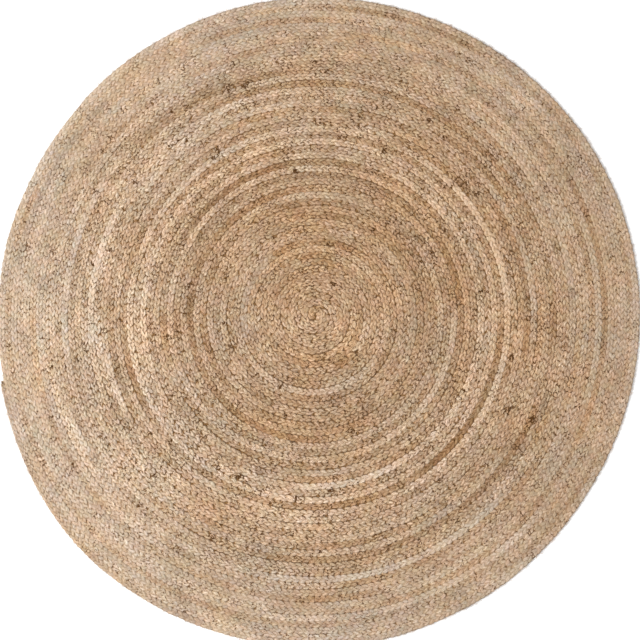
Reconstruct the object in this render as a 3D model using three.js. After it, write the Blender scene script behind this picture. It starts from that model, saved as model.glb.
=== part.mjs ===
// A round braided jute rug, lying flat. Millimetres, +Z up, underside on z = 0.
//
// Two flat three-strand braids lie side by side as a pair, an inner golden one and an outer pale
// one. The pair winds clockwise from the middle to the rim in one spiral and is sewn to itself,
// so the whole rug is one piece. The top face carries a crest along each braid and a groove
// along each seam. The last stretch of the pair narrows to a blunt tip on the rim.

import * as THREE from "three";

// Spiral
const SEGMENTS = 48; // steps in one turn
const TURNS = 25; // pair widths from the middle to the rim, at the tip
const START_TURN = 0.5; // the pair begins this many turns out from the middle
const PAIR_WIDTH = 38.4; // both braids, in the middle
const RIM_SQUEEZE = 24.4; // taken off the radius because the outer turns are sewn tighter
const SQUEEZE_POWER = 4; // the power of the radius with which that grows
const RIM_RADIUS = TURNS * PAIR_WIDTH - RIM_SQUEEZE;
const TIP_ANGLE = 191; // degrees, counter-clockwise from +X

// The narrowed end of the pair
const TAIL_ANGLE = 38; // degrees of the last turn
const TIP_WIDTH = 9;

// Section across one pair, from its inner seam outward: share of the pair's width, and height
const SECTION = [
  { place: "seam between pairs", share: 0, height: 5 },
  { place: "golden crest", share: 0.29, height: 9 },
  { place: "seam within the pair", share: 0.56, height: 6 },
  { place: "pale crest", share: 0.8, height: 10 },
];
const SEAM_HEIGHT = SECTION[0].height;
const HUB_HEIGHT = 9; // the coiled start of the pair
const HUB_SHIFT = 6; // the hub's high point, beside the middle
const RIM_HEIGHT = 4.5; // the widest line of the outermost braid
const UNDERSIDE_INSET = 3; // how far the rounded rim draws in to the underside

// How a hand-sewn coil departs from a true circle
const MIDDLE_OFFSET = new THREE.Vector2(-1.5, 8); // the coil's middle from the rim's centre
const OFFSET_FADE = 1.3; // the power of the radius with which that offset fades
const LOBES = [
  { count: 2, size: 3.9, angle: 108 },
  { count: 3, size: 1.1, angle: 49 },
  { count: 4, size: 2.2, angle: 69 },
];
const BULGE = { size: 8, angle: 167, spread: 5 }; // one pushed-out stretch of the rim
const BULGE_FADE = 16; // the power of the radius with which it fades inward

const JUTE_COLOUR = 0xba9d81;

const radians = THREE.MathUtils.degToRad;

// Distance of a seam from the middle, after some turns
function seamRadius(turn) {
  return turn * PAIR_WIDTH - RIM_SQUEEZE * (turn / TURNS) ** SQUEEZE_POWER;
}

// Direction of the spiral after some turns; it turns clockwise on its way out
function spiralAngle(turn) {
  return radians(TIP_ANGLE) - 2 * Math.PI * (turn - LAST_TURN);
}

// Point of the rug at a nominal radius and angle, with the coil's unevenness
function uneven(radius, angle, height) {
  const share = radius / RIM_RADIUS;
  let reach = radius;
  for (const lobe of LOBES) {
    reach += lobe.size * share ** 2 * Math.cos(lobe.count * angle - radians(lobe.angle));
  }
  const fromBulge = Math.cos(angle - radians(BULGE.angle));
  const spread = radians(BULGE.spread);
  reach += BULGE.size * share ** BULGE_FADE * Math.exp((fromBulge - 1) / spread ** 2);
  const offset = MIDDLE_OFFSET.clone().multiplyScalar(1 - share ** OFFSET_FADE);
  const x = offset.x + reach * Math.cos(angle);
  const y = offset.y + reach * Math.sin(angle);
  return new THREE.Vector3(x, y, height);
}

// The pair's inner seam runs from START_TURN to LAST_TURN; its outer seam is one turn further
const LAST_TURN = TURNS - 1;
const FIRST_STEP = Math.round(START_TURN * SEGMENTS);
const LAST_STEP = Math.round(LAST_TURN * SEGMENTS);

// How much of its full width the pair still has, from 1 down to 0 over the tail
function tailFullness(turn) {
  const tailStart = LAST_TURN - TAIL_ANGLE / 360;
  return 1 - THREE.MathUtils.smoothstep(turn, tailStart, LAST_TURN);
}

function pairWidth(turn) {
  const fullness = tailFullness(turn);
  const full = seamRadius(turn + 1) - seamRadius(turn);
  return fullness * full + (1 - fullness) * TIP_WIDTH;
}

// Collects shared vertices and triangles of one closed solid
class Solid {
  constructor() {
    this.points = [];
    this.triangles = [];
  }

  add(point) {
    this.points.push(point);
    return this.points.length - 1;
  }

  triangle(a, b, c) {
    if (a !== b && b !== c && c !== a) {
      this.triangles.push(a, b, c);
    }
  }

  // Two triangles between an inner edge and an outer edge, both running clockwise from above
  band(innerFrom, innerTo, outerFrom, outerTo) {
    this.triangle(innerFrom, outerTo, outerFrom);
    this.triangle(innerFrom, innerTo, outerTo);
  }

  geometry() {
    const geometry = new THREE.BufferGeometry().setFromPoints(this.points);
    geometry.setIndex(this.triangles);
    geometry.computeVertexNormals();
    return geometry;
  }
}

// Crests and seams of the top face: one list of vertices for each step, from its inner seam out
function addTop(solid) {
  const rows = new Map();
  for (let step = FIRST_STEP; step < LAST_STEP; step += 1) {
    const turn = step / SEGMENTS;
    const fullness = tailFullness(turn);
    const row = SECTION.map(({ share, height }) => {
      const radius = seamRadius(turn) + share * pairWidth(turn);
      const lift = SEAM_HEIGHT + fullness * (height - SEAM_HEIGHT);
      return solid.add(uneven(radius, spiralAngle(turn), lift));
    });
    rows.set(step, row);
  }
  // The tip closes on the seam behind it, in one point
  const tip = solid.add(uneven(seamRadius(LAST_TURN), spiralAngle(LAST_TURN), RIM_HEIGHT));
  rows.set(LAST_STEP, SECTION.map(() => tip));
  return rows;
}

// The widest line of the outermost braid, over the last turn
function addRim(solid, rows) {
  const rim = new Map();
  const rimStart = LAST_STEP - SEGMENTS;
  for (let step = rimStart + 1; step < LAST_STEP; step += 1) {
    const turn = step / SEGMENTS;
    const radius = seamRadius(turn) + pairWidth(turn);
    rim.set(step, solid.add(uneven(radius, spiralAngle(turn), RIM_HEIGHT)));
  }
  const tip = rows.get(LAST_STEP)[0];
  rim.set(rimStart, tip);
  rim.set(LAST_STEP, tip);
  return rim;
}

// The pair's outer edge at a step: the next turn's inner seam, or the rim on the last turn
function outerEdge(step, rows, rim) {
  const next = rows.get(step + SEGMENTS);
  return next ? next[0] : rim.get(step);
}

function joinTop(solid, rows, rim) {
  for (let step = FIRST_STEP; step < LAST_STEP; step += 1) {
    const here = [...rows.get(step), outerEdge(step, rows, rim)];
    const ahead = [...rows.get(step + 1), outerEdge(step + 1, rows, rim)];
    for (let line = 0; line < SECTION.length; line += 1) {
      solid.band(here[line], ahead[line], here[line + 1], ahead[line + 1]);
    }
  }
}

// The start of the pair, coiled up inside its own first turn
function addHub(solid, rows) {
  const sideways = spiralAngle(START_TURN) + Math.PI / 2;
  const hub = solid.add(uneven(HUB_SHIFT, sideways, HUB_HEIGHT));
  const firstTurnEnd = FIRST_STEP + SEGMENTS;
  for (let step = FIRST_STEP; step < firstTurnEnd; step += 1) {
    solid.triangle(hub, rows.get(step + 1)[0], rows.get(step)[0]);
  }
  const cutEnd = [...rows.get(FIRST_STEP), rows.get(firstTurnEnd)[0]];
  for (let line = 0; line < SECTION.length; line += 1) {
    solid.triangle(hub, cutEnd[line], cutEnd[line + 1]);
  }
}

// Rounded rim down to the flat underside, and the underside itself
function addUnderside(solid, rim) {
  const lower = new Map();
  for (const [step, vertex] of rim) {
    const above = solid.points[vertex];
    const inward = new THREE.Vector3(above.x, above.y, 0).setLength(UNDERSIDE_INSET);
    lower.set(step, solid.add(new THREE.Vector3(above.x, above.y, 0).sub(inward)));
  }
  const rimStart = LAST_STEP - SEGMENTS;
  lower.set(LAST_STEP, lower.get(rimStart));
  const middle = solid.add(new THREE.Vector3(0, 0, 0));
  for (let step = rimStart; step < LAST_STEP; step += 1) {
    solid.band(rim.get(step), rim.get(step + 1), lower.get(step), lower.get(step + 1));
    solid.triangle(middle, lower.get(step), lower.get(step + 1));
  }
}

function buildRug() {
  const solid = new Solid();
  const rows = addTop(solid);
  const rim = addRim(solid, rows);
  joinTop(solid, rows, rim);
  addHub(solid, rows);
  addUnderside(solid, rim);

  const jute = new THREE.MeshStandardMaterial({
    color: JUTE_COLOUR,
    roughness: 0.95,
    metalness: 0,
  });
  const rug = new THREE.Mesh(solid.geometry(), jute);
  rug.name = "jute_rug";

  // The origin is below the middle of the rug's own box
  rug.geometry.computeBoundingBox();
  const middle = rug.geometry.boundingBox.getCenter(new THREE.Vector3());
  rug.position.set(-middle.x, -middle.y, 0);
  return rug;
}

const group = new THREE.Group();
group.add(buildRug());

export default group;
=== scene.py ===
# A round braided jute rug on a pale studio floor, seen from straight above.
# Metres, +Z up, in the frame of the imported model.
#
# Two flat three-strand braids, an inner golden one and an outer pale one, wind together
# clockwise from the middle to the rim. Each of the six strands is one long tube, which weaves
# over and under its two neighbours. A thin ribbed core lies between the braids' two faces,
# dark brown as painted shade where it shows in the gaps, and loose fibres stand off the yarn.

import math
from collections import namedtuple

import bpy
import numpy as np
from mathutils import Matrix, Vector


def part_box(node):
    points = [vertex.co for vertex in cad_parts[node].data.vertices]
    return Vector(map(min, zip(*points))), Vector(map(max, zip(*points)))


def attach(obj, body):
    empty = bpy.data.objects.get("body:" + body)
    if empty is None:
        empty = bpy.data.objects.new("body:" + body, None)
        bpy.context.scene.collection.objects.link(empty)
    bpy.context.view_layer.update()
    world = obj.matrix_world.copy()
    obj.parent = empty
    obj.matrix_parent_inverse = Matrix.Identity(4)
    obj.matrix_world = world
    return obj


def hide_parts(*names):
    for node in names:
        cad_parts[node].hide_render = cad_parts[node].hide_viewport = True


NODE = "jute_rug"
MM = 0.001
FULL_TURN = 2 * math.pi

# ---------------------------------------------------------------- spiral, as in the solid
SEGMENTS = 48  # the solid's steps in one turn
TURNS = 25
START_TURN = 0.5
LAST_TURN = TURNS - 1
PAIR_WIDTH = 38.4 * MM
RIM_SQUEEZE = 24.4 * MM
SQUEEZE_POWER = 4
RIM_RADIUS = TURNS * PAIR_WIDTH - RIM_SQUEEZE
TIP_ANGLE = math.radians(191)
TAIL_TURNS = 38 / 360
TIP_WIDTH = 9 * MM
MIDDLE_OFFSET = (-1.5 * MM, 8 * MM)
OFFSET_FADE = 1.3
LOBES = (  # count, size, angle
    (2, 3.9 * MM, math.radians(108)),
    (3, 1.1 * MM, math.radians(49)),
    (4, 2.2 * MM, math.radians(69)),
)
BULGE_SIZE = 8 * MM
BULGE_ANGLE = math.radians(167)
BULGE_SPREAD = math.radians(5)
BULGE_FADE = 16

# ---------------------------------------------------------------- braids
# share: where the braid's middle lies across the pair; start: the turn where it leaves the
# middle; rough: how uneven its strands are; wander: how much its stitches differ in length;
# rim_soft: how smooth its yarn is near the rim
Braid = namedtuple("Braid", "share width height start rough wander rim_soft")
BRAIDS = {
    "golden": Braid(0.275, 21.8 * MM, 9.0 * MM, -0.17, 1.7, 0.20, 0.5),
    "pale": Braid(0.785, 20.6 * MM, 9.7 * MM, -0.67, 1.2, 0.14, 0.75),
}
STRANDS = 3
SIDES = 6  # corners round each strand
STITCH = 55 * MM  # one full weave, roughly: the measure for what varies along the yarn
STEADY_TURNS = (14, 20)  # between these turns the weave grows steadier
STEADY_LOSS = 0.4  # by this share
WANDER_LENGTH = 0.35  # metres over which the stitches grow longer and shorter
RAGGED = 0.22  # how far each strand runs ahead or lags, in radians of the weave
RAGGED_LENGTH = 0.6  # and over how many stitches
SWAYS = ((0.9 * MM, 1.7 * STITCH), (0.6 * MM, 6 * STITCH))  # how far, over what length

# a strand's sizes as shares of half its braid's width or height, how much each one varies,
# and over how many stitches
Varied = namedtuple("Varied", "share spread stitches")
REACH = Varied(0.60, 0.15, 0.37)  # from the braid's middle to the strand's furthest place
WIDE = Varied(0.47, 0.16, 0.27)
LIFT = Varied(0.44, 0.18, 0.31)  # above and below the braid's mid height
THICK = Varied(0.50, 0.13, 0.25)
CROWN_SPREAD = 0.10  # how much wider a strand is where it lies highest or lowest
SOFT_WIDENING = 0.15
SOFT_FLATTENING = 0.25
TAIL_WIDTH_SHARE = 0.5  # left at the tail's tip
TAIL_DEPTH_SHARE = 0.8
TAPER_SHARE = 0.5  # left at each strand's own ends
TAPER_IN = 0.15 * STITCH
TAPER_OUT = 0.3 * STITCH
CREST_SHIFT = math.radians(22)  # moves each lobe's crest out towards the braid's edge
RING_PHASES = (10, 45, 80, 135)  # degrees, in each half of a stitch: three on top, one below
SEED = 7  # of every random draw
STRETCH_SEED = SEED + 700
BARK_SEED = SEED + 800
LOOSE_SEED = SEED + 500
RIM_SEED = SEED + 600

# ---------------------------------------------------------------- photo's framing
PHOTO_PIXEL = 2.843 * MM  # one of the photo's pixels, on the rug
FRAME_PIXELS = 640
FRAME_CENTRE = (319.5, 319.5)  # pixel
RIM_CENTRE = (315.3, 318.5)  # pixel where the rim's own centre lies
LENS_MM = 100
SENSOR_MM = 36
FURTHEST_VIEW = 100  # metres

# ---------------------------------------------------------------- yarn by place
# how each braid changes from the middle to the rim: mean lightness and red-to-blue spread of
# its yarn, and the length of one full weave
Zone = namedtuple("Zone", "turn light warmth stitch")
ZONES = {
    "pale": (
        Zone(0, 150, 59, 53 * MM),
        Zone(8, 148, 56, 53 * MM),
        Zone(12, 162, 54, 57 * MM),
        Zone(18, 156, 50, 57 * MM),
        Zone(25, 161, 42, 47 * MM),
    ),
    "golden": (
        Zone(0, 160, 58, 54 * MM),
        Zone(8, 143, 56, 54 * MM),
        Zone(12, 149, 54, 54 * MM),
        Zone(18, 156, 52, 57 * MM),
        Zone(25, 161, 45, 53 * MM),
    ),
}

# the plainest stretches where a braid's yarn is lighter, darker, warmer or cooler than the rest
Stretch = namedtuple("Stretch", "braid pairs_out from_deg to_deg lighter warmer")
PLAIN_STRETCHES = (
    Stretch("pale", 12.5, 260, 300, 10, -10),
    Stretch("pale", 14, 0, 60, 10, 0),
    Stretch("pale", 16.5, 150, 190, 10, -5),
    Stretch("pale", 18.5, 140, 190, 10, -5),
    Stretch("pale", 19.5, 0, 60, 10, -5),
    Stretch("pale", 19.5, 270, 320, 10, -10),
    Stretch("pale", 21, -20, 30, 5, -5),
    Stretch("golden", 4, 290, 320, -20, 10),
    Stretch("golden", 4.5, 70, 110, -20, 10),
    Stretch("golden", 5, 120, 200, 10, -15),
    Stretch("golden", 7, 220, 250, -20, 0),
    Stretch("golden", 14, 300, 360, -15, 5),
    Stretch("golden", 15, 20, 70, -10, 5),
    Stretch("golden", 15, 180, 240, -15, 5),
    Stretch("golden", 17.5, 30, 120, -10, 5),
    Stretch("golden", 18, 250, 340, -15, 5),
    Stretch("golden", 20.5, 120, 180, -10, 0),
)

# and the plainest clusters of dark bark in it: where each lies and how far it reaches
Bark = namedtuple("Bark", "pairs_out angle_deg reach")
PLAIN_BARK = (
    Bark(0.1, 275, 4 * MM),
    Bark(2.7, 60, 9 * MM),
    Bark(4, 320, 8 * MM),
    Bark(9.5, 125, 8 * MM),
    Bark(13, 245, 11 * MM),
    Bark(14.5, 120, 11 * MM),
    Bark(17, 60, 10 * MM),
    Bark(18, 190, 9 * MM),
    Bark(18, 335, 12 * MM),
    Bark(19, 150, 11 * MM),
)
BARK_CLUSTERS = 200  # more of them, at random places
BARK_TURNS = (3, 17, 24)  # first, commonest and last turn that they lie in
BARK_REACH = (3 * MM, 5 * MM, 10 * MM)  # least, commonest and greatest
BARK_EDGE = 1.3  # a cluster ends this many of its reaches out

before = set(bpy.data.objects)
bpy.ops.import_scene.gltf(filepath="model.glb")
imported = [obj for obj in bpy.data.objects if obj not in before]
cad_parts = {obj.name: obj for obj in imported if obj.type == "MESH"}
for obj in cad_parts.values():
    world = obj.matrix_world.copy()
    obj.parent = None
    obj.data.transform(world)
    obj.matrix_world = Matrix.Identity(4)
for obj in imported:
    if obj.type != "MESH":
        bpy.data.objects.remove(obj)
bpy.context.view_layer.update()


def smoothstep(x):
    """From 0 to 1 as x does so, and level beyond."""
    x = np.clip(x, 0, 1)
    return x * x * (3 - 2 * x)


def eased(x, ends):
    """From 0 at the first end to 1 at the second, smoothly."""
    return smoothstep((x - ends[0]) / (ends[1] - ends[0]))


def seam_radius(turn):
    """Nominal radius of the seam between two pairs: they lie closer towards the rim."""
    return turn * PAIR_WIDTH - RIM_SQUEEZE * (np.maximum(turn, 0) / TURNS) ** SQUEEZE_POWER


def spiral_angle(turn):
    """Direction of the seam from the middle: clockwise, to the tip at the last turn."""
    return TIP_ANGLE - FULL_TURN * (turn - LAST_TURN)


def tail_fullness(turn):
    """1 along the spiral, falling to 0 over its tail."""
    return 1 - smoothstep((turn - (LAST_TURN - TAIL_TURNS)) / TAIL_TURNS)


def pair_width(turn):
    """Width of the two braids together, which narrows along the tail."""
    fullness = tail_fullness(turn)
    full = seam_radius(turn + 1) - seam_radius(turn)
    return fullness * full + (1 - fullness) * TIP_WIDTH


def uneven(radius, angle):
    """The rug's point at a nominal radius and angle, about the rim's centre."""
    share = np.clip(radius / RIM_RADIUS, 0, None)
    reach = radius
    for count, size, phase in LOBES:
        reach = reach + size * share**2 * np.cos(count * angle - phase)
    bulge = np.exp((np.cos(angle - BULGE_ANGLE) - 1) / BULGE_SPREAD**2)
    reach = reach + BULGE_SIZE * share**BULGE_FADE * bulge
    fade = 1 - share**OFFSET_FADE
    x = MIDDLE_OFFSET[0] * fade + reach * np.cos(angle)
    y = MIDDLE_OFFSET[1] * fade + reach * np.sin(angle)
    return np.stack([x, y], -1)


def rim_line():
    """The rim's points, one for each of the solid's steps."""
    turn = np.arange(LAST_TURN - 1, LAST_TURN, 1 / SEGMENTS)
    return uneven(seam_radius(turn) + pair_width(turn), spiral_angle(turn))


# The solid is centred on its box, so the rim's centre moves by as much
box_low, box_high = (np.array(corner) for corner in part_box(NODE))
rim = rim_line()
SHIFT = (box_low + box_high)[:2] / 2 - (rim.min(0) + rim.max(0)) / 2


def wave_noise(at, scale, rng):
    """Smooth random values from -1 to 1 along a line: knots a scale apart, some to spare."""
    knots = np.arange(at.min() - 2 * scale, at.max() + 3 * scale, scale)
    values = rng.uniform(-1, 1, len(knots))
    x = (at - knots[0]) / scale
    i = x.astype(int)
    t = smoothstep(x - i)
    return values[i] * (1 - t) + values[i + 1] * t


PLAN_CORNER = 1.2 * RIM_RADIUS  # how far down and left of the middle the plan's noise starts
PLAN_SPAN = 3 * RIM_RADIUS


def patch_noise(place, scale, rng):
    """Smooth random values from -1 to 1 over the rug's plan."""
    cells = int(PLAN_SPAN / scale) + 3
    values = rng.uniform(-1, 1, (cells, cells))
    at = (place + PLAN_CORNER) / scale
    cell = at.astype(int)
    i, j = cell.T
    t, u = smoothstep(at - cell).T
    low = values[i, j] * (1 - t) + values[i + 1, j] * t
    high = values[i, j + 1] * (1 - t) + values[i + 1, j + 1] * t
    return low * (1 - u) + high * u


# ---------------------------------------------------------------- colour
# painted light: the yarn is painted lighter and cooler towards the side where more light falls
BRIGHT_SIDE = math.radians(205)  # the direction where the rug looks paler and cooler
BRIGHT_SIDE_LIGHT = 5
BRIGHT_SIDE_WARMTH = -4
BRIGHT_SIDE_TURN = 12  # from here out it has its full effect
SOFT_TURNS = (18, 21)  # between these the rim's yarn grows soft
SOFT_LIGHTNESS = 12  # a stretch lighter by this is fully soft
STRETCH_FADE = 7  # degrees over which a stretch comes and goes
STRETCH_LENGTH = (0.2, 0.75)  # metres
STRETCH_STRENGTH = (0.4, 1.4)  # least and greatest
STRETCH_AREA = (0.01, 1)  # share of the rug's area inside the innermost and outermost
LONGEST_STRETCH = 300  # degrees
STRETCH_REACH = 0.5  # pairs to either side

# the stretches at random places: how many, and how much lighter and warmer they mostly are
More = namedtuple("More", "count lighter warmer")
MORE_STRETCHES = {"golden": More(58, -8, 4), "pale": More(34, 5, -4)}


def by_zone(braid, turn, column):
    """A column of the braid's zones at each turn."""
    rows = ZONES[braid]
    return np.interp(turn, [row.turn for row in rows], [getattr(row, column) for row in rows])


def all_stretches(braid):
    """The braid's plainest stretches, and more at random places."""
    rows = [row for row in PLAIN_STRETCHES if row.braid == braid]
    rng = np.random.default_rng(STRETCH_SEED)
    count, lighter, warmer = MORE_STRETCHES[braid]
    for pairs_out in LAST_TURN * np.sqrt(rng.uniform(*STRETCH_AREA, count)):
        start = rng.uniform(0, 360)
        span = math.degrees(rng.uniform(*STRETCH_LENGTH) / seam_radius(pairs_out))
        end = start + min(span, LONGEST_STRETCH)
        strength = rng.uniform(*STRETCH_STRENGTH)
        rows.append(Stretch(braid, pairs_out, start, end, lighter * strength, warmer * strength))
    return rows


def tone(name, turn):
    """Lightness, warmth and softness of a braid's yarn by place: pale stretches are soft."""
    braid = BRAIDS[name]
    angle = spiral_angle(turn)
    # painted light: lighter and cooler towards the rug's brighter side
    side = np.cos(angle - BRIGHT_SIDE) * np.clip(turn / BRIGHT_SIDE_TURN, 0, 1)
    lightness = by_zone(name, turn, "light") + BRIGHT_SIDE_LIGHT * side
    warmth = by_zone(name, turn, "warmth") + BRIGHT_SIDE_WARMTH * side
    pairs_out = turn + braid.share
    degrees = np.degrees(angle)
    soft = braid.rim_soft * eased(turn, SOFT_TURNS)
    for row in all_stretches(name):
        past = (degrees - row.from_deg) % 360
        span = row.to_deg - row.from_deg
        near = np.abs(pairs_out - row.pairs_out) < STRETCH_REACH
        inside = smoothstep(past / STRETCH_FADE) * smoothstep((span - past) / STRETCH_FADE) * near
        lightness = lightness + row.lighter * inside
        warmth = warmth + row.warmer * inside
        soft = np.maximum(soft, inside * np.clip(row.lighter / SOFT_LIGHTNESS, 0, 1))
    return lightness, warmth, soft


def all_bark():
    """The plainest clusters of bark, and more at random places."""
    rng = np.random.default_rng(BARK_SEED)
    rows = list(PLAIN_BARK)
    for pairs_out in rng.triangular(*BARK_TURNS, BARK_CLUSTERS):
        rows.append(Bark(pairs_out, rng.uniform(0, 360), rng.triangular(*BARK_REACH)))
    return rows


def bark_amount(place):
    """How much dark bark the yarn holds at each place of the plan, from 0 to 1."""
    amount = np.zeros(len(place))
    for row in all_bark():
        angle = math.radians(row.angle_deg)
        nominal = seam_radius(np.array([row.pairs_out]))
        spot = uneven(nominal, np.array([angle]))[0] + SHIFT
        distance = np.linalg.norm(place - spot, axis=1)
        amount = np.maximum(amount, smoothstep(BARK_EDGE - distance / row.reach))
    return amount


def srgb_to_linear(c):
    """Linear values of colours from 0 to 255."""
    c = c / 255
    return np.where(c <= 0.04045, c / 12.92, ((c + 0.055) / 1.055) ** 2.4)


# how red, green and blue follow the yarn's warmth and blush, and what else they add
Cast = namedtuple("Cast", "warmth blush extra")
CASTS = (Cast(0.51, 0.4, 0), Cast(0, -0.7, 0.5), Cast(-0.49, 0.3, 0))
COLOUR_LIMITS = (5, 250)


def yarn_colour(lightness, warmth, blush):
    """Linear colour of jute: lightness, red-to-blue spread, and pink or khaki cast."""
    parts = [lightness + c.warmth * warmth + c.blush * blush + c.extra for c in CASTS]
    return srgb_to_linear(np.clip(np.stack(parts, -1), *COLOUR_LIMITS))


# ---------------------------------------------------------------- strands
# a strand's rings: corners, direction, colour, bark, softness, length so far, phase and turn
Tube = namedtuple("Tube", "points along colour bark soft length phase turn")
LINE_STEPS = 720  # of a braid's middle line in one turn


def centre_line(braid):
    """Dense places along a braid: turn, length so far, place and outward direction."""
    turn = np.arange(braid.start, LAST_TURN, 1 / LINE_STEPS)
    radius = seam_radius(turn) + braid.share * pair_width(turn)
    place = uneven(radius, spiral_angle(turn)) + SHIFT
    along = np.gradient(place, axis=0)
    step = np.linalg.norm(along, axis=1)
    length = np.concatenate([[0], np.cumsum((step[1:] + step[:-1]) / 2)])
    along /= step[:, None]
    outward = np.stack([-along[:, 1], along[:, 0]], -1)
    return turn, length, place, outward


def weave_phase(name, index, turn, length, shared, own):
    """A strand's phase in the weave along its braid, and how steady the weave is there."""
    braid = BRAIDS[name]
    steady = 1 - STEADY_LOSS * eased(turn, STEADY_TURNS)
    wander = 1 + braid.wander * steady * wave_noise(length, WANDER_LENGTH, shared)
    stitch = by_zone(name, turn, "stitch") * wander
    stitches = np.concatenate([[0], np.cumsum(np.diff(length) / stitch[1:])])
    phase = FULL_TURN * (stitches + index / STRANDS)
    ragged = RAGGED * braid.rough * steady
    return phase + ragged * wave_noise(length, RAGGED_LENGTH * STITCH, own), steady


def ring_places(phase_at, length_at):
    """Phase and length of each ring: the same phases in every stitch, and both ends."""
    halves = np.arange(math.ceil(phase_at[0] / math.pi), int(phase_at[-1] / math.pi))
    phase = (halves[:, None] * math.pi + np.radians(RING_PHASES)[None, :]).ravel()
    length = np.interp(phase, phase_at, length_at)
    phase = np.concatenate([[phase_at[0]], phase, [phase_at[-1]]])
    return phase, np.concatenate([[0], length, [length_at[-1]]])


def varied(size, whole, rough, length, rng):
    """A strand's size at each ring, uneven along its length."""
    noise = wave_noise(length, size.stitches * STITCH, rng)
    return whole * size.share * (1 + size.spread * rough * noise)


def strand_sizes(braid, turn, length, phase, rough, soft, rng):
    """How far the strand reaches, how wide it is, its lift and its thickness at each ring."""
    fullness = tail_fullness(turn)
    size = TAIL_WIDTH_SHARE + (1 - TAIL_WIDTH_SHARE) * fullness
    depth = TAIL_DEPTH_SHARE + (1 - TAIL_DEPTH_SHARE) * fullness
    start = smoothstep(length / TAPER_IN)
    end = smoothstep((length[-1] - length) / TAPER_OUT)
    taper = TAPER_SHARE + (1 - TAPER_SHARE) * np.minimum(start, end)
    half = braid.width / 2
    tall = braid.height / 2
    crown = 1 - CROWN_SPREAD * np.cos(4 * phase)
    reach = varied(REACH, half, rough, length, rng) * size
    wide = varied(WIDE, half, rough, length, rng) * size * crown * taper
    lift = varied(LIFT, tall, rough, length, rng) * depth
    thick = varied(THICK, tall, rough, length, rng) * depth * taper
    return reach, wide * (1 + SOFT_WIDENING * soft), lift * (1 - SOFT_FLATTENING * soft), thick


def tube_points(path, wide, thick):
    """Rings of points about a path, none below the floor, and the path's direction."""
    along = np.gradient(path, axis=0)
    along /= np.linalg.norm(along, axis=1)[:, None]
    sideways = np.cross(along, (0, 0, 1.0))
    sideways /= np.linalg.norm(sideways, axis=1)[:, None]
    upward = np.cross(sideways, along)
    around = (np.arange(SIDES) - 1) / SIDES * FULL_TURN
    points = (
        path[:, None]
        + sideways[:, None] * (np.cos(around)[None, :, None] * wide[:, None, None])
        + upward[:, None] * (np.sin(around)[None, :, None] * thick[:, None, None])
    )
    points[..., 2] = np.maximum(points[..., 2], 0)
    return points, along


# how much the yarn's colour varies, and over what length in metres
LIGHT_PATCHES = ((3, 0.12), (5, 0.032))
WARM_PATCHES = ((5, 0.12), (4, 0.04))
BLUSH_PATCHES = ((2.5, 0.02),)
BLUSH_WAVES = ((1, 0.05),)
BATCH_LENGTH = 1.2  # of one batch of fibre in all three strands
BATCH_LIGHT = 8
BATCH_WARMTH = -3
BRAID_LIGHT_WAVES = ((5, 0.15), (5, 0.04))
BRAID_WARM_WAVES = ((4, 0.12),)
STRAND_LIGHT_WAVES = ((5, 0.31), (6, 0.06))
STRAND_WARM_WAVES = ((4, 0.4), (4.5, 0.06))
LOBE_LIGHT = 4  # how much one lobe differs from the next


def layered(noise, at, layers, rng):
    """Noise at several scales, each as strong as its layer says."""
    return sum(much * noise(at, scale, rng) for much, scale in layers)


def strand_colour(plan, length, phase, rough, tones, shared, rng):
    """The place's tone, patches of the plan, waves along the yarn, and each lobe's own."""
    lightness, warmth = tones
    everywhere = np.random.default_rng(SEED)
    lightness = lightness + layered(patch_noise, plan, LIGHT_PATCHES, everywhere)
    warmth = warmth + layered(patch_noise, plan, WARM_PATCHES, everywhere)
    blush = layered(patch_noise, plan, BLUSH_PATCHES, everywhere)
    blush = blush + layered(wave_noise, length, BLUSH_WAVES, rng)
    batch = wave_noise(length, BATCH_LENGTH, shared)
    lightness = lightness + BATCH_LIGHT * batch
    lightness = lightness + layered(wave_noise, length, BRAID_LIGHT_WAVES, shared)
    warmth = warmth + BATCH_WARMTH * batch
    warmth = warmth + layered(wave_noise, length, BRAID_WARM_WAVES, shared)
    lightness = lightness + layered(wave_noise, length, STRAND_LIGHT_WAVES, rng)
    lobes = (phase / math.pi).astype(int)
    lobes -= lobes.min()
    lightness = lightness + LOBE_LIGHT * rough * rng.uniform(-1, 1, lobes.max() + 1)[lobes]
    warmth = warmth + layered(wave_noise, length, STRAND_WARM_WAVES, rng)
    return yarn_colour(lightness, warmth, blush)


def strand(name, index):
    """One strand of a braid as rings of points, with its colour at each ring."""
    braid = BRAIDS[name]
    braid_seed = SEED + 100 * list(BRAIDS).index(name)
    strand_seed = braid_seed + 10 * (index + 1)
    shared = np.random.default_rng(braid_seed)  # draws the same for the braid's three strands
    rng = np.random.default_rng(strand_seed)
    own = np.random.default_rng(strand_seed + 5)
    turn_at, length_at, place_at, outward_at = centre_line(braid)
    phase_at, steady_at = weave_phase(name, index, turn_at, length_at, shared, own)
    phase, length = ring_places(phase_at, length_at)
    turn = np.interp(length, length_at, turn_at)
    centre = np.stack([np.interp(length, length_at, place_at[:, k]) for k in (0, 1)], -1)
    outward = np.stack([np.interp(length, length_at, outward_at[:, k]) for k in (0, 1)], -1)
    outward /= np.linalg.norm(outward, axis=1)[:, None]

    lightness, warmth, soft = tone(name, turn)
    sway = layered(wave_noise, length, SWAYS, shared)
    rough = braid.rough * np.interp(length, length_at, steady_at)
    reach, wide, lift, thick = strand_sizes(braid, turn, length, phase, rough, soft, rng)
    across = reach * np.sin(phase) + sway
    height = braid.height / 2 + lift * np.sin(2 * phase - CREST_SHIFT)
    path = np.concatenate([centre + outward * across[:, None], height[:, None]], 1)
    points, along = tube_points(path, wide, thick)
    plan = path[:, :2]
    colour = strand_colour(plan, length, phase, rough, (lightness, warmth), shared, rng)
    return Tube(points, along, colour, bark_amount(plan), soft, length, phase, turn)


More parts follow.
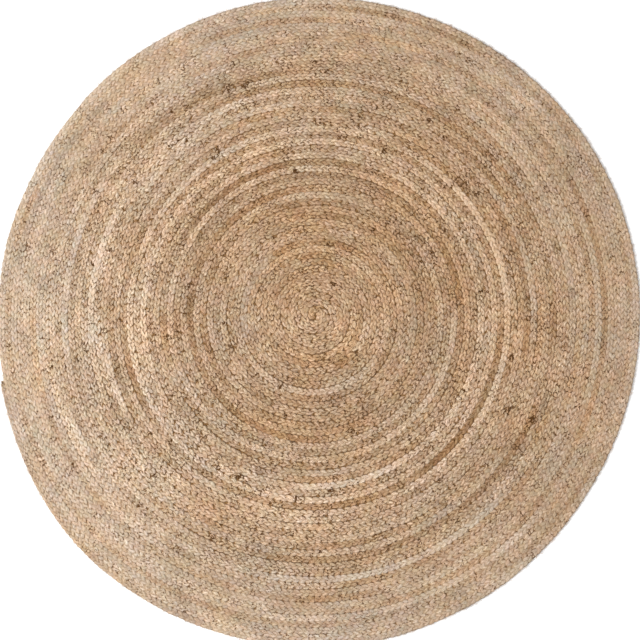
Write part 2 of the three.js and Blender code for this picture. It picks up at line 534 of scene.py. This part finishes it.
def add_object(name, data):
    """A new object in the scene, from its mesh, light or camera."""
    made = bpy.data.objects.new(name, data)
    bpy.context.scene.collection.objects.link(made)
    return made


def new_object(name, points, faces_start, corners):
    """A mesh object from its points and its faces' corners, all smooth."""
    mesh = bpy.data.meshes.new(name)
    mesh.vertices.add(len(points))
    mesh.vertices.foreach_set("co", points.ravel().astype(np.float32))
    mesh.loops.add(len(corners))
    mesh.loops.foreach_set("vertex_index", corners.astype(np.int32))
    mesh.polygons.add(len(faces_start))
    mesh.polygons.foreach_set("loop_start", faces_start.astype(np.int32))
    mesh.polygons.foreach_set("use_smooth", np.ones(len(faces_start), bool))
    mesh.update()
    return add_object(name, mesh)


def tube_faces(rings, sides):
    """Corners of a capped tube's faces, and where each face starts."""
    ring = np.arange(rings - 1)[:, None] * sides
    side = np.arange(sides)[None, :]
    following = (side + 1) % sides
    quads = np.stack([ring + side, ring + sides + side, ring + sides + following, ring + following], -1)
    first_cap = np.arange(sides)
    last_cap = (rings - 1) * sides + np.arange(sides)[::-1]
    corners = np.concatenate([quads.ravel(), first_cap, last_cap])
    sizes = np.concatenate([np.full((rings - 1) * sides, 4), [sides, sides]])
    return corners, np.cumsum(sizes) - sizes


def set_map(mesh, name, places):
    """A map with a place for each corner of each face."""
    layer = mesh.uv_layers.new(name=name)
    layer.uv.foreach_set("vector", places.ravel().astype(np.float32))


def set_tint(mesh, colour, points):
    """Give each ring's or fibre's points its linear colour."""
    tint = mesh.color_attributes.new(name="tint", type="FLOAT_COLOR", domain="POINT")
    rgba = np.ones((len(colour), points, 4), np.float32)
    rgba[..., :3] = colour[:, None]
    tint.data.foreach_set("color", rgba.ravel())


BAKE_ROWS = 40
BAKE_SHARE = 0.96  # of a row or cell that is filled


def strand_object(name, tube):
    """A strand's mesh, with its two maps, its tint, its bark and its softness."""
    rings, sides = tube.points.shape[:2]
    corners, starts = tube_faces(rings, sides)
    made = new_object(name, tube.points.reshape(-1, 3), starts, corners)
    mesh = made.data

    # "yarn" runs in metres along the yarn and once round it
    ring_of, side_of, corner_of = np.indices((rings - 1, sides, 4))
    ahead = np.array([0, 1, 1, 0])[corner_of]
    beside = np.array([0, 0, 1, 1])[corner_of]
    along = tube.length[ring_of + ahead]
    round_yarn = (side_of + beside) / sides
    cap = np.zeros((2 * sides, 2))
    yarn_map = np.stack([along, round_yarn], -1).reshape(-1, 2)
    set_map(mesh, "yarn", np.concatenate([yarn_map, cap]))

    # "OFBake" cuts the yarn into rows that share one square
    row_length = tube.length[-1] / BAKE_ROWS
    row = np.floor(tube.length[ring_of] / row_length)
    row = np.minimum(row, BAKE_ROWS - 1)
    u = (along - row * row_length) / row_length * BAKE_SHARE
    v = (row + round_yarn * BAKE_SHARE) / BAKE_ROWS
    bake_map = np.stack([u, v], -1).reshape(-1, 2)
    set_map(mesh, "OFBake", np.concatenate([bake_map, cap]))

    set_tint(mesh, tube.colour, sides)
    for label, values in (("bark", tube.bark), ("soft", tube.soft)):
        layer = mesh.attributes.new(name=label, type="FLOAT", domain="POINT")
        layer.data.foreach_set("value", np.repeat(values, sides).astype(np.float32))
    return made


# ---------------------------------------------------------------- core
CORE_ROWS = (  # share across the pair, half thickness
    (0.0, 0.8 * MM),
    (0.275, 1.2 * MM),
    (0.53, 0.8 * MM),
    (0.785, 1.2 * MM),
)
CORE_HEIGHT = 4.4 * MM
CORE_INSET = 6 * MM
CORE_EDGE = 0.6 * MM
CORE_STOP = 1  # of the solid's steps before the tip, so that the yarn covers the core's end


def core_object(name):
    """A thin ribbed sheet between the braids' two faces, out to just inside the rim."""
    lines = len(CORE_ROWS)
    steps = int((LAST_TURN - START_TURN) * SEGMENTS) + 1 - CORE_STOP
    turns = START_TURN + np.arange(steps) / SEGMENTS
    fullness = tail_fullness(turns)
    rows = []
    for share, thick in CORE_ROWS:
        place = uneven(seam_radius(turns) + share * pair_width(turns), spiral_angle(turns))
        half = thick * fullness + CORE_EDGE * (1 - fullness)
        rows.append(np.concatenate([place + SHIFT, half[:, None]], 1))
    grid = np.stack(rows, 1).reshape(-1, 3)
    last = turns[-SEGMENTS:]
    rim_place = uneven(seam_radius(last) + pair_width(last) - CORE_INSET, spiral_angle(last)) + SHIFT
    edge = np.concatenate([rim_place, np.full((SEGMENTS, 1), CORE_EDGE)], 1)
    sheet = np.concatenate([grid, edge])
    count = len(sheet)

    def vertex(step, line):
        """The sheet's point there; a pair's last line is the next turn's first, or the edge."""
        if line < lines:
            return step * lines + line
        ahead = step + SEGMENTS
        if ahead < steps:
            return ahead * lines
        return steps * lines + ahead - steps

    upper = []
    for step in range(steps - 1):
        for line in range(lines):
            upper.append((
                vertex(step, line),
                vertex(step + 1, line),
                vertex(step + 1, line + 1),
                vertex(step, line + 1),
            ))
    hub = [vertex(step, 0) for step in range(SEGMENTS + 1)]
    hub += [vertex(0, line) for line in range(lines - 1, 0, -1)]
    upper.append(tuple(reversed(hub)))
    border = [vertex(step, lines) for step in range(steps - 1 - SEGMENTS, steps)]
    border += [vertex(steps - 1, line) for line in range(lines - 1, 0, -1)]
    lower = [tuple(corner + count for corner in reversed(face)) for face in upper]
    walls = []
    for here, there in zip(border, border[1:] + border[:1]):
        walls.append((here, there, there + count, here + count))
    top = np.stack([sheet[:, 0], sheet[:, 1], CORE_HEIGHT + sheet[:, 2]], 1)
    bottom = np.stack([sheet[:, 0], sheet[:, 1], CORE_HEIGHT - sheet[:, 2]], 1)
    mesh = bpy.data.meshes.new(name)
    mesh.from_pydata(np.concatenate([top, bottom]).tolist(), [], upper + lower + walls)
    mesh.update()
    return add_object(name, mesh)


# ---------------------------------------------------------------- loose fibres
FIBRE_SIDES = 3
FIBRE_RINGS = 4
FIBRE_THICKNESS = 0.5 * MM
LOOSE_FIBRES = 7000
RIM_FIBRES = 3000
FIBRE_SHAPE = (0.6, 1, 1, 0.4)  # thickness at each ring
FIBRE_BEND = 0.22  # furthest sideways, as a share of its length
FIBRE_ROOT = 0.3 * MM  # how deep its ends lie in the yarn
TOP_SIDES = (2, 3)  # the yarn's two upper edges
OUTER_SIDES = (3, 4)  # its upper and middle edges towards the rim
TOP_LEVEL = 0.5  # how high on its weave yarn must lie to shed loose fibres
OUTER_LEVEL = 0.2  # how far out to shed rim fibres

# angles off the yarn's own direction in radians, lengths in millimetres, shades of its colour
LOOSE_SPREAD = 0.6
LOOSE_LENGTH = (7, 20)
LOOSE_HUMP = (0.2, 1.8)
LOOSE_SHADE = (0.75, 1.5)
RIM_SPREAD = (0.15, 1.3)
RIM_LENGTH = (4, 13)
RIM_CLIMB = (-3, 1)
RIM_HUMP = (-0.5, 1.0)
RIM_SHADE = (0.9, 1.5)


def fibre_roots(tubes, count, rng, allowed, sides):
    """Random places on the yarns' surface: point, direction and colour."""
    picks = []
    per_tube = count // len(tubes)
    for tube in tubes:
        rings = np.flatnonzero(allowed(tube))
        ring = rng.choice(rings, per_tube)
        side = rng.choice(sides, per_tube)
        picks.append((tube.points[ring, side], tube.along[ring], tube.colour[ring]))
    return (np.concatenate(part) for part in zip(*picks))


def fibre_object(name, root, heading, hump, colour, rng):
    """Thin closed strips from each root along its heading, arched by its hump."""
    count = len(root)
    share = np.arange(FIBRE_RINGS) / (FIBRE_RINGS - 1)
    length = np.linalg.norm(heading, axis=1)
    direction = heading / length[:, None]
    aside = np.cross(direction, (0, 0, 1.0))
    aside /= np.linalg.norm(aside, axis=1)[:, None]
    bend = rng.uniform(-FIBRE_BEND, FIBRE_BEND, count) * length
    path = root[:, None] + heading[:, None] * share[None, :, None]
    path = path + aside[:, None] * (bend[:, None] * np.sin(math.pi * share)[None, :])[..., None]
    path[..., 2] += hump[:, None] * np.sin(math.pi * share)[None, :] - FIBRE_ROOT
    path[..., 2] = np.maximum(path[..., 2], FIBRE_THICKNESS)
    around = np.arange(FIBRE_SIDES) / FIBRE_SIDES * FULL_TURN
    upward = np.cross(aside, direction)
    half = FIBRE_THICKNESS / 2 * np.array(FIBRE_SHAPE)
    ring = aside[:, None, None] * np.cos(around)[None, None, :, None]
    ring = ring + upward[:, None, None] * np.sin(around)[None, None, :, None]
    points = path[:, :, None] + ring * half[None, :, None, None]

    one, first = tube_faces(FIBRE_RINGS, FIBRE_SIDES)
    per_fibre = FIBRE_RINGS * FIBRE_SIDES
    corners = (np.arange(count)[:, None] * per_fibre + one[None, :]).ravel()
    starts = (np.arange(count)[:, None] * len(one) + first[None, :]).ravel()
    made = new_object(name, points.reshape(-1, 3), starts, corners)

    # each fibre has its own cell of the square
    cells = math.ceil(math.sqrt(count))
    corner_ring, corner_side = np.divmod(one, FIBRE_SIDES)
    local = np.stack([corner_ring / FIBRE_RINGS, corner_side / FIBRE_SIDES], -1)
    cell = np.stack([np.arange(count) % cells, np.arange(count) // cells], -1)
    square = (cell[:, None] + local[None] * BAKE_SHARE) / cells
    set_map(made.data, "OFBake", square)
    set_tint(made.data, colour, per_fibre)
    return made


def turned(direction, angle):
    """Directions turned about the upward axis."""
    cos = np.cos(angle)
    sin = np.sin(angle)
    x = direction[:, 0] * cos - direction[:, 1] * sin
    y = direction[:, 0] * sin + direction[:, 1] * cos
    return np.stack([x, y, np.zeros(len(x))], -1)


def surface_fibres(tubes):
    """Fibres that stand off the yarn's upper side."""
    rng = np.random.default_rng(LOOSE_SEED)

    def on_top(tube):
        return np.sin(2 * tube.phase) > TOP_LEVEL

    root, along, colour = fibre_roots(tubes, LOOSE_FIBRES, rng, on_top, TOP_SIDES)
    count = len(root)
    heading = turned(along, rng.normal(0, LOOSE_SPREAD, count))
    heading = heading * rng.uniform(*LOOSE_LENGTH, count)[:, None] * MM
    heading *= rng.choice((-1, 1), count)[:, None]
    hump = rng.uniform(*LOOSE_HUMP, count) * MM
    shade = rng.uniform(*LOOSE_SHADE, count)
    return fibre_object("loose_fibres", root, heading, hump, colour * shade[:, None], rng)


def rim_fibres(tubes):
    """Fibres that stick out round the rim."""
    rng = np.random.default_rng(RIM_SEED)

    def at_rim(tube):
        return (tube.turn > LAST_TURN - 1) & (np.sin(tube.phase) > OUTER_LEVEL)

    root, along, colour = fibre_roots(tubes, RIM_FIBRES, rng, at_rim, OUTER_SIDES)
    count = len(root)
    turn_out = rng.uniform(*RIM_SPREAD, count)
    forward = rng.choice((-1, 1), count)
    heading = turned(along * forward[:, None], turn_out * forward)
    heading = heading * rng.uniform(*RIM_LENGTH, count)[:, None] * MM
    heading[:, 2] = rng.uniform(*RIM_CLIMB, count) * MM
    hump = rng.uniform(*RIM_HUMP, count) * MM
    shade = rng.uniform(*RIM_SHADE, count)
    return fibre_object("rim_fibres", root, heading, hump, colour * shade[:, None], rng)


# ---------------------------------------------------------------- materials
def material(name):
    """A new material with no nodes yet."""
    made = bpy.data.materials.new(name)
    made.use_nodes = True
    made.node_tree.nodes.clear()
    return made


DARK_WARMTH = (0.72, 1.0, 1.40)  # how fast red, green and blue fall as jute gets darker
PALE_COOLING = (0.86, 1.0, 1.14)  # and how fast they rise as it gets paler
# painted shade: the yarn is painted warmer as well as darker the lower it lies in the valleys
PAINTED_SHADE_WARMTH = (0.45, 1.0, 1.75)  # and fall as it lies deeper
SPECULAR = 0.12
SHEEN = 0.03  # of dry jute
SHEEN_ROUGHNESS = 0.6
NOISE_SPAN = (0.3, 0.7)  # where most of a noise's values lie


class Nodes:
    """Short calls for building one material's node tree."""

    def __init__(self, made):
        self.tree = made.node_tree

    def add(self, kind, **values):
        made = self.tree.nodes.new(kind)
        for key, value in values.items():
            setattr(made, key, value)
        return made

    def set(self, target, value):
        """Link an output to a socket, or give the socket a plain value."""
        if isinstance(value, bpy.types.NodeSocket):
            self.tree.links.new(value, target)
        else:
            target.default_value = value

    def math(self, operation, first, second=0.0, third=0.0):
        made = self.add("ShaderNodeMath", operation=operation)
        for target, value in zip(made.inputs, (first, second, third)):
            self.set(target, value)
        return made.outputs["Value"]

    def noise(self, place, scale, detail=2.0, roughness=0.5):
        mapping = self.add("ShaderNodeMapping")
        mapping.inputs["Scale"].default_value = scale
        self.set(mapping.inputs["Vector"], place)
        made = self.add("ShaderNodeTexNoise")
        made.inputs["Scale"].default_value = 1.0
        made.inputs["Detail"].default_value = detail
        made.inputs["Roughness"].default_value = roughness
        self.set(made.inputs["Vector"], mapping.outputs["Vector"])
        return made.outputs["Fac"]

    def between(self, value, source, target):
        """The value's share of the source range, mapped to the target range and clamped."""
        made = self.add("ShaderNodeMapRange")
        self.set(made.inputs["Value"], value)
        made.inputs["From Min"].default_value = source[0]
        made.inputs["From Max"].default_value = source[1]
        made.inputs["To Min"].default_value = target[0]
        made.inputs["To Max"].default_value = target[1]
        return made.outputs["Result"]

    def brighten(self, colour, factor, warmth=DARK_WARMTH):
        """The colour times the factor, warmer where that darkens it, as dry jute is and as the painted
        shade in the valleys is.
        """
        powers = self.add("ShaderNodeCombineXYZ")
        darker = self.math("MINIMUM", factor, 1.0)
        paler = self.math("MAXIMUM", factor, 1.0)
        for target, fall, rise in zip(powers.inputs, warmth, PALE_COOLING):
            fallen = self.math("POWER", darker, fall)
            self.set(target, self.math("MULTIPLY", fallen, self.math("POWER", paler, rise)))
        made = self.add("ShaderNodeVectorMath", operation="MULTIPLY")
        self.set(made.inputs[0], colour)
        self.set(made.inputs[1], powers.outputs["Vector"])
        return made.outputs["Vector"]

    def finish(self, colour, roughness, height, distance, sheen):
        """The shader of a fibre surface, with a bump of the height times the distance."""
        shader = self.add("ShaderNodeBsdfPrincipled")
        out = self.add("ShaderNodeOutputMaterial")
        shader.inputs["Specular IOR Level"].default_value = SPECULAR
        shader.inputs["Sheen Weight"].default_value = sheen
        shader.inputs["Sheen Roughness"].default_value = SHEEN_ROUGHNESS
        self.set(shader.inputs["Base Color"], colour)
        self.set(shader.inputs["Roughness"], roughness)
        bump = self.add("ShaderNodeBump")
        bump.inputs["Strength"].default_value = 1.0
        bump.inputs["Distance"].default_value = distance
        self.set(bump.inputs["Height"], height)
        self.set(shader.inputs["Normal"], bump.outputs["Normal"])
        self.set(out.inputs["Surface"], shader.outputs["BSDF"])


PLIES = 5  # ridges of roving round each strand
PLY_TWIST = 0.04  # metres of strand in which each ridge moves to the next one's place
CLUMP_BEND = 5.0  # how far the clumps push the ridges about
# heights over which the painted shade of the valleys gives way to the painted light of the crowns
VALLEY_TO_CROWN = (4.0 * MM, 8.0 * MM)
BARK_COLOUR = (0.080, 0.031, 0.005, 1)

# scales of the noises, for each metre along the yarn and once round it
FIBRE_GRAIN = (230, 9, 1)
CLUMP_GRAIN = (95, 6, 1)
HAIR_GRAIN = (50, 75, 1)
SPECK_GRAIN = (170, 5, 1)
CLUSTER_GRAIN = (24, 1, 1)

# what each one multiplies the yarn's colour by, at its darkest and its brightest
FIBRE_TONES = (0.64, 1.36)
CLUMP_TONES = (0.67, 1.32)
# painted shade in the grooves between plies and painted light on their ridges
RIDGE_PAINTED_SHADES = (0.78, 1.18)
HAIR_TONES = (0.76, 1.32)
# painted shade low in the valleys and painted light on the crowns, by height
PAINTED_HEIGHT_SHADES = (0.72, 1.05)
SOFT_CALM = 0.5  # how much evener soft yarn is

# what adds to the darkness, and the darkness where bark begins and where it is full
CLUSTER_WEIGHT = 0.3
BARK_WEIGHT = 0.17
# painted shade: more dark specks where the yarn lies low in the valleys
VALLEY_SHADE_WEIGHT = 0.11
SOFT_WEIGHT = -0.03
SPECK_SPAN = (0.745, 0.80)

YARN_ROUGHNESS = (0.92, 0.72)
YARN_BUMP = 0.8 * MM
RIDGE_BUMP = 0.25
HAIR_BUMP = 0.8


def yarn_material():
    made = material("jute_yarn")
    nodes = Nodes(made)
    tint = nodes.add("ShaderNodeVertexColor", layer_name="tint").outputs["Color"]
    bark = nodes.add("ShaderNodeAttribute", attribute_name="bark").outputs["Fac"]
    soft = nodes.add("ShaderNodeAttribute", attribute_name="soft").outputs["Fac"]
    place = nodes.add("ShaderNodeUVMap", uv_map="yarn").outputs["UV"]
    parts = nodes.add("ShaderNodeSeparateXYZ")
    nodes.set(parts.inputs[0], place)

    # single fibres run along the plies
    lean = nodes.math("MULTIPLY_ADD", parts.outputs["X"], 1 / (PLIES * PLY_TWIST), parts.outputs["Y"])
    twisted = nodes.add("ShaderNodeCombineXYZ")
    nodes.set(twisted.inputs["X"], parts.outputs["X"])
    nodes.set(twisted.inputs["Y"], lean)
    hair = nodes.noise(twisted.outputs["Vector"], HAIR_GRAIN, detail=3.0, roughness=0.65)

    # the strand's plies, its fibres and the coarse clumps that they lie in
    fibre = nodes.noise(place, FIBRE_GRAIN, detail=5.0, roughness=0.7)
    clump = nodes.noise(place, CLUMP_GRAIN, detail=3.0, roughness=0.6)
    ridge = nodes.math("MULTIPLY", parts.outputs["X"], FULL_TURN / PLY_TWIST)
    ridge = nodes.math("MULTIPLY_ADD", parts.outputs["Y"], PLIES * FULL_TURN, ridge)
    ridge = nodes.math("SINE", nodes.math("MULTIPLY_ADD", clump, CLUMP_BEND, ridge))

    fibre_tone = nodes.between(fibre, NOISE_SPAN, FIBRE_TONES)
    clump_tone = nodes.between(clump, NOISE_SPAN, CLUMP_TONES)
    # the ridges' tone is painted shade in the grooves between plies and painted light on their crests
    ridge_painted_shade = nodes.between(ridge, (-1, 1), RIDGE_PAINTED_SHADES)
    hair_tone = nodes.between(hair, NOISE_SPAN, HAIR_TONES)
    factor = nodes.math("MULTIPLY", nodes.math("MULTIPLY", fibre_tone, clump_tone), ridge_painted_shade)

    # painted shade: the yarn is painted darker and warmer the lower it lies, and a little paler on the
    # crowns as painted light
    object_place = nodes.add("ShaderNodeTexCoord").outputs["Object"]
    heights = nodes.add("ShaderNodeSeparateXYZ")
    nodes.set(heights.inputs[0], object_place)
    painted_height_shade = nodes.between(heights.outputs["Z"], VALLEY_TO_CROWN, PAINTED_HEIGHT_SHADES)
    calm = nodes.math("MULTIPLY_ADD", soft, -SOFT_CALM, 1.0)
    factor = nodes.math("MULTIPLY", nodes.math("POWER", factor, calm), hair_tone)
    streaked = nodes.brighten(nodes.brighten(tint, factor), painted_height_shade, PAINTED_SHADE_WARMTH)

    # dark bits of bark, mostly in clusters
    speck = nodes.noise(place, SPECK_GRAIN, detail=3.0, roughness=0.6)
    cluster = nodes.noise(place, CLUSTER_GRAIN)
    darkness = nodes.math("MULTIPLY_ADD", cluster, CLUSTER_WEIGHT, speck)
    darkness = nodes.math("MULTIPLY_ADD", bark, BARK_WEIGHT, darkness)
    # more specks where the yarn lies low, as painted shade in the valleys
    painted_shade_specks = nodes.between(heights.outputs["Z"], VALLEY_TO_CROWN, (VALLEY_SHADE_WEIGHT, 0))
    darkness = nodes.math("ADD", darkness, painted_shade_specks)
    darkness = nodes.math("MULTIPLY_ADD", soft, SOFT_WEIGHT, darkness)
    amount = nodes.between(darkness, SPECK_SPAN, (0, 1))
    flecked = nodes.add("ShaderNodeMix", data_type="RGBA")
    nodes.set(flecked.inputs["Factor"], amount)
    nodes.set(flecked.inputs["A"], streaked)
    flecked.inputs["B"].default_value = BARK_COLOUR

    roughness = nodes.between(fibre, NOISE_SPAN, YARN_ROUGHNESS)
    height = nodes.math("MULTIPLY_ADD", ridge, RIDGE_BUMP, nodes.math("ADD", fibre, clump))
    height = nodes.math("MULTIPLY_ADD", hair, HAIR_BUMP, height)
    nodes.finish(flecked.outputs["Result"], roughness, height, YARN_BUMP, sheen=SHEEN)
    return made


LOOSE_GRAIN = (400, 400, 400)
LOOSE_TONES = (0.85, 1.15)
LOOSE_ROUGHNESS = (0.9, 0.7)
LOOSE_BUMP = 0.2 * MM


def loose_material():
    """Matt fibre: the tint, mottled between two shades."""
    made = material("jute_fibre")
    nodes = Nodes(made)
    tint = nodes.add("ShaderNodeVertexColor", layer_name="tint").outputs["Color"]
    place = nodes.add("ShaderNodeTexCoord").outputs["Object"]
    mottle = nodes.noise(place, LOOSE_GRAIN, detail=3.0)
    colour = nodes.brighten(tint, nodes.between(mottle, NOISE_SPAN, LOOSE_TONES))
    roughness = nodes.between(mottle, NOISE_SPAN, LOOSE_ROUGHNESS)
    nodes.finish(colour, roughness, mottle, LOOSE_BUMP, sheen=SHEEN)
    return made


# painted shade: the core's dark browns stand in for the shade in the gaps between the strands
CORE_LIGHT = (0.31, 0.17, 0.068, 1)
CORE_DARK = (0.085, 0.040, 0.013, 1)
CORE_SPAN = (0.35, 0.7)  # of the mottling, from dark to light
CORE_GRAIN = (250, 250, 250)
CORE_ROUGHNESS = (0.98, 0.85)
CORE_BUMP = 0.6 * MM


def core_material():
    made = material("painted_shade_core")
    nodes = Nodes(made)
    place = nodes.add("ShaderNodeTexCoord").outputs["Object"]
    mottle = nodes.noise(place, CORE_GRAIN, detail=4.0)
    ramp = nodes.add("ShaderNodeValToRGB")
    for stop, position, colour in zip(ramp.color_ramp.elements, CORE_SPAN, (CORE_DARK, CORE_LIGHT)):
        stop.position = position
        stop.color = colour
    nodes.set(ramp.inputs["Fac"], mottle)
    roughness = nodes.between(mottle, NOISE_SPAN, CORE_ROUGHNESS)
    nodes.finish(ramp.outputs["Color"], roughness, mottle, CORE_BUMP, sheen=0.0)
    return made


# ---------------------------------------------------------------- the rug
yarn = yarn_material()
strands = []
tubes = {}
for braid_name in BRAIDS:
    tubes[braid_name] = [strand(braid_name, index) for index in range(STRANDS)]
    for index, tube in enumerate(tubes[braid_name]):
        piece = strand_object(f"{braid_name}_strand_{index + 1}", tube)
        piece.data.materials.append(yarn)
        strands.append(piece)

fibre_finish = loose_material()
fibres = [surface_fibres(tubes["golden"] + tubes["pale"]), rim_fibres(tubes["pale"])]
for piece in fibres:
    piece.data.materials.append(fibre_finish)

core = core_object("painted_shade_sheet")
core.data.materials.append(core_material())

for piece in [core, *strands, *fibres]:
    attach(piece, "root")
    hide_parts(NODE)


# ---------------------------------------------------------------- studio
FLOOR_REACH = 20
FLOOR_DROP = 0.2 * MM  # below the rug
FLOOR_COLOUR = (0.98, 0.98, 0.98, 1)
WORLD_LIGHT = 0.80
SOFTBOX_PLACE = (-4.0, -0.9, 4.4)
SOFTBOX_SIZE = 3.0
SOFTBOX_POWER = 315


def studio_floor():
    corners = [(-1, -1), (1, -1), (1, 1), (-1, 1)]
    mesh = bpy.data.meshes.new("studio_floor")
    mesh.from_pydata([(x * FLOOR_REACH, y * FLOOR_REACH, 0) for x, y in corners], [], [(0, 1, 2, 3)])
    floor = add_object("studio_floor", mesh)
    floor.location.z = -FLOOR_DROP
    made = material("studio_floor")
    nodes = Nodes(made)
    shader = nodes.add("ShaderNodeBsdfDiffuse")
    shader.inputs["Color"].default_value = FLOOR_COLOUR
    out = nodes.add("ShaderNodeOutputMaterial")
    nodes.set(out.inputs["Surface"], shader.outputs["BSDF"])
    mesh.materials.append(made)


def lights():
    world = bpy.data.worlds.new("studio")
    bpy.context.scene.world = world
    world.use_nodes = True
    background = world.node_tree.nodes["Background"]
    background.inputs["Color"].default_value = (1, 1, 1, 1)
    background.inputs["Strength"].default_value = WORLD_LIGHT
    data = bpy.data.lights.new("softbox", "AREA")
    data.size = SOFTBOX_SIZE
    data.energy = SOFTBOX_POWER
    lamp = add_object("softbox", data)
    lamp.location = SOFTBOX_PLACE
    lamp.rotation_euler = (-lamp.location).to_track_quat("-Z", "Y").to_euler()


def camera():
    data = bpy.data.cameras.new("camera")
    data.lens = LENS_MM
    data.sensor_width = SENSOR_MM
    data.clip_end = FURTHEST_VIEW
    width = FRAME_PIXELS * PHOTO_PIXEL
    made = add_object("camera", data)
    x = SHIFT[0] + (FRAME_CENTRE[0] - RIM_CENTRE[0]) * PHOTO_PIXEL
    y = SHIFT[1] - (FRAME_CENTRE[1] - RIM_CENTRE[1]) * PHOTO_PIXEL
    made.location = (x, y, box_high[2] + width * LENS_MM / SENSOR_MM)
    bpy.context.scene.camera = made


studio_floor()
lights()
camera()
bpy.context.scene.view_settings.view_transform = "Standard"
